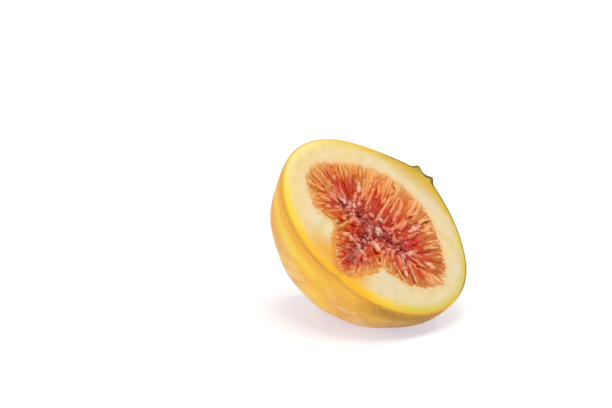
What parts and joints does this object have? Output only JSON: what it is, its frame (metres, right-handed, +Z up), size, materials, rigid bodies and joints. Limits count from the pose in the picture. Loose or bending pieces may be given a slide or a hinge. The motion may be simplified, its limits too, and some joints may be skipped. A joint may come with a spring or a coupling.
{
  "type": "fresh fig half",
  "caption": "Fresh yellow fig cut lengthwise, lying on its round side: thin skin, pale flesh ring and sunken red pulp of radiating florets, with a stem scar and an eye.",
  "frame": {"origin": "middle of the flattened patch of skin that the half rests on, on the surface it lies on", "axes": "+Z up; the cut face looks to -Y and up, 45.5 degrees above level; the stem end points to +X and a little up and back"},
  "size_m": [0.0486, 0.0428, 0.0408],
  "materials": {
    "skin": "smooth waxy yellow fruit skin with brown blush",
    "flesh": "moist cream flesh, yellow towards the skin",
    "pulp": "wet red and orange pulp"
  },
  "bodies": {
    "root": {"fig_half": "skin"}
  },
  "joints": []
}
